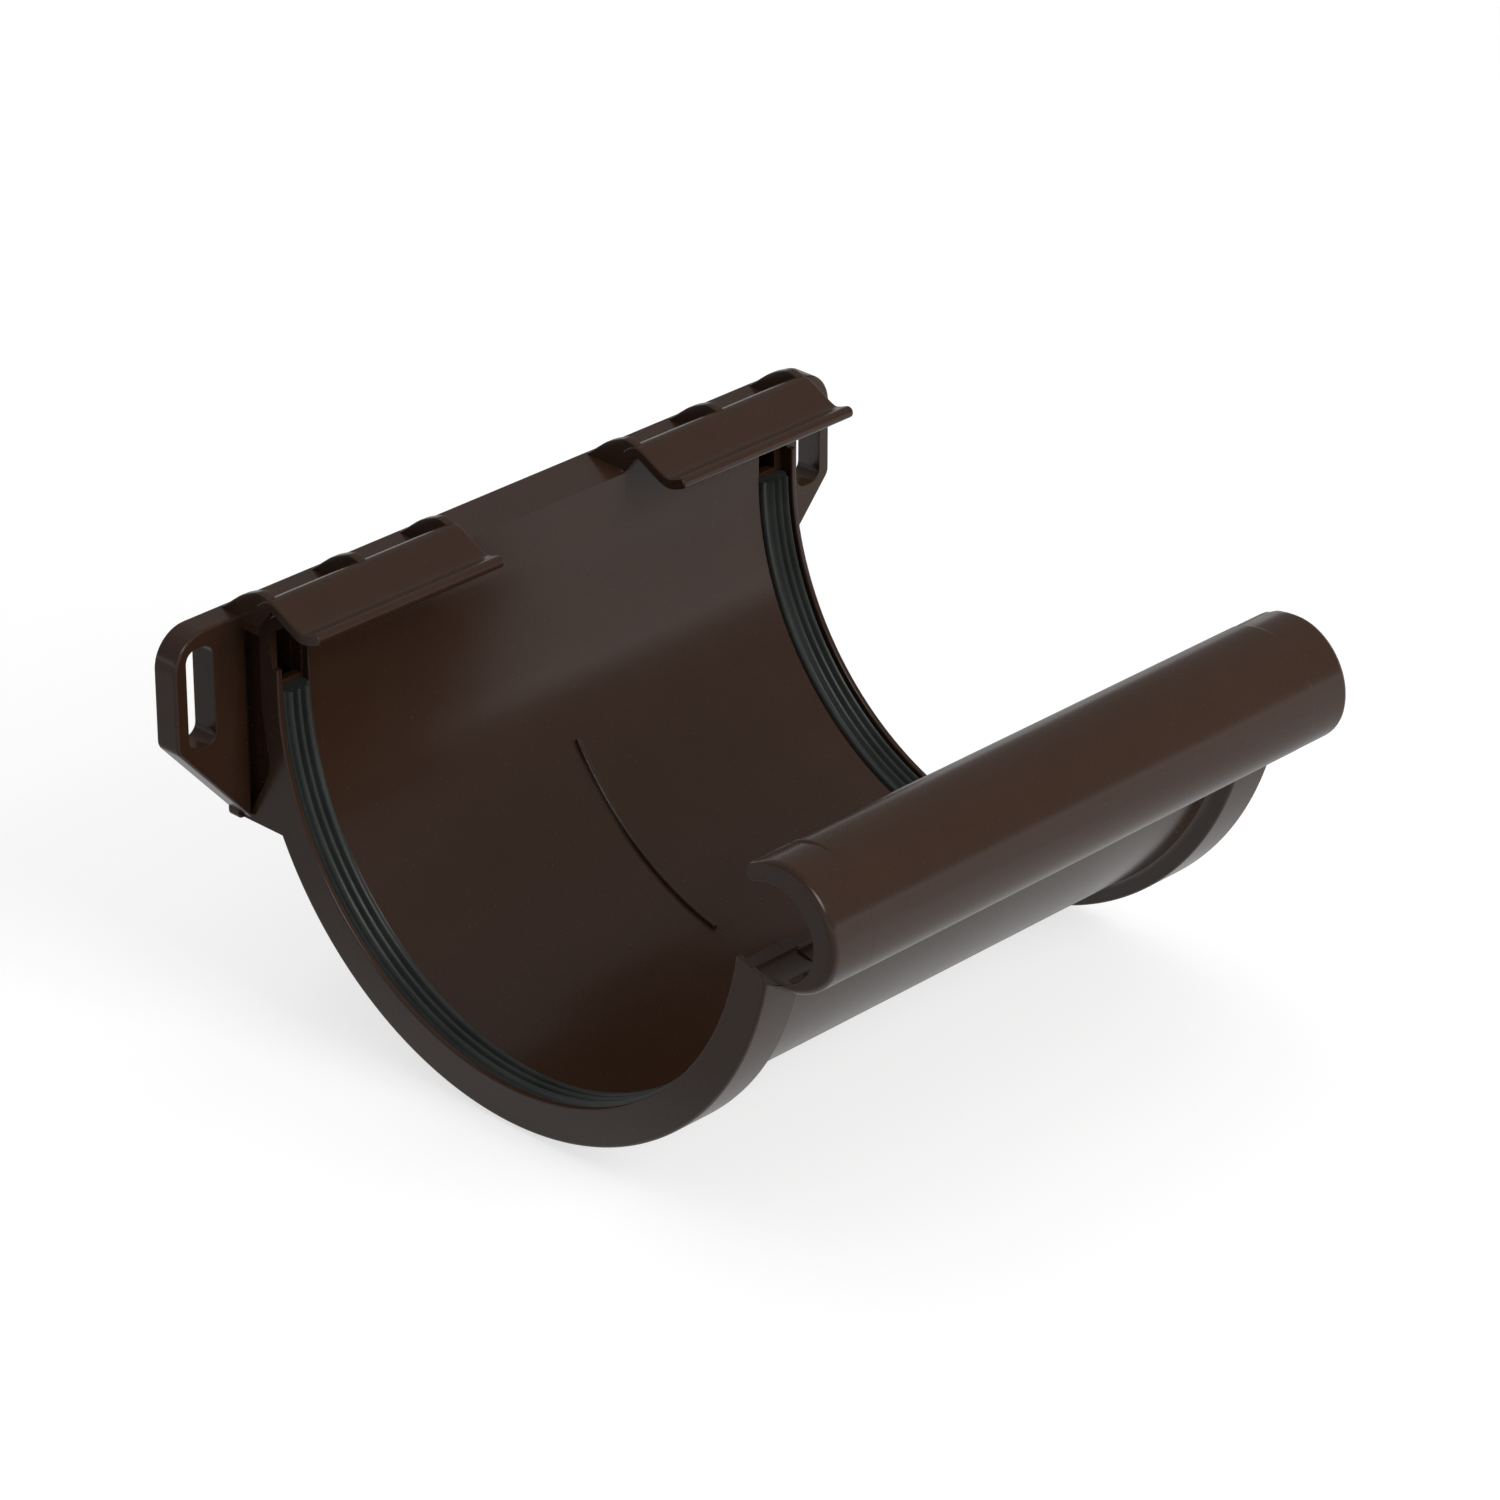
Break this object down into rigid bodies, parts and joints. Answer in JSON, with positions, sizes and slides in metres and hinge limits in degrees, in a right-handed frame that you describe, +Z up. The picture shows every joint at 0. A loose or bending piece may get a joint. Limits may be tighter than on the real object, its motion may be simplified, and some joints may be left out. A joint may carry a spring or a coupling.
{
  "type": "gutter union",
  "caption": "Moulded union that joins two half-round gutters: seal grooves at its ends, a front bead hook, back clips and a wall plate with slotted screw ears.",
  "frame": {"origin": "middle of the wall face along the gutter, level with the trough's axis", "axes": "+X along the gutter, +Y out of the wall face into the wall, +Z up; the front bead hook is on the -Y side"},
  "size_m": [0.1852, 0.1663, 0.0936],
  "materials": {
    "brown_plastic": "moulded dark brown plastic with a satin gloss",
    "seal_rubber": "dark grey-green soft rubber"
  },
  "bodies": {
    "root": {"union_body": "brown_plastic", "seal_left": "seal_rubber", "seal_right": "seal_rubber"}
  },
  "joints": []
}
